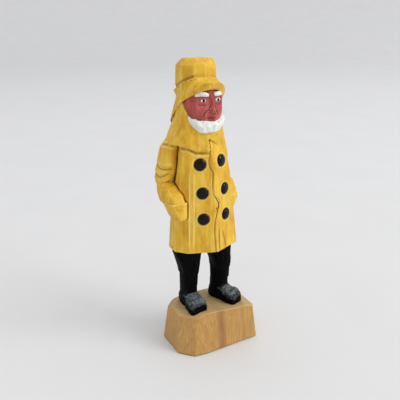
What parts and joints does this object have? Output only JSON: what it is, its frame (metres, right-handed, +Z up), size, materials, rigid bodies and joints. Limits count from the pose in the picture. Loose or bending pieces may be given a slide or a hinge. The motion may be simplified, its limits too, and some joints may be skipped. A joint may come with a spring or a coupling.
{
  "type": "carved wooden figurine",
  "caption": "Whittled and painted wooden figurine of a bearded fisherman in a sou'wester and a buttoned oilskin coat, standing on a bare wood block.",
  "frame": {"origin": "the middle of the block's underside", "axes": "+Z up, -Y the way the figure looks, +X towards the figure's left hand"},
  "size_m": [0.064, 0.0479, 0.2],
  "materials": {
    "bare_wood": "knife-cut softwood, thinly oiled, with upright grain",
    "yellow_paint": "thin satin yellow paint over carved wood, darker in the cuts",
    "black_paint": "satin black paint over carved wood, dusty grey on the toes",
    "gloss_black_paint": "gloss black paint on small domes",
    "red_paint": "thin satin red paint over carved wood",
    "white_paint": "satin white paint with a grey wash in the cuts"
  },
  "bodies": {
    "root": {"base_block": "bare_wood", "right_boot": "black_paint", "left_boot": "black_paint", "right_trouser_leg": "black_paint", "left_trouser_leg": "black_paint", "right_button_1": "gloss_black_paint", "right_button_2": "gloss_black_paint", "right_button_3": "gloss_black_paint", "left_button_1": "gloss_black_paint", "left_button_2": "gloss_black_paint", "left_button_3": "gloss_black_paint", "head": "red_paint", "cape_collar": "yellow_paint", "storm_collar": "yellow_paint", "front_overlap": "yellow_paint", "coat_body": "yellow_paint", "right_forearm_sleeve": "yellow_paint", "left_forearm_sleeve": "yellow_paint", "right_upper_sleeve": "yellow_paint", "left_upper_sleeve": "yellow_paint", "right_pocket": "yellow_paint", "left_pocket": "yellow_paint", "hat_crown": "yellow_paint", "hat_brim": "yellow_paint", "beard": "white_paint", "right_eyebrow": "white_paint", "left_eyebrow": "white_paint", "right_eye": "white_paint", "left_eye": "white_paint"}
  },
  "joints": []
}
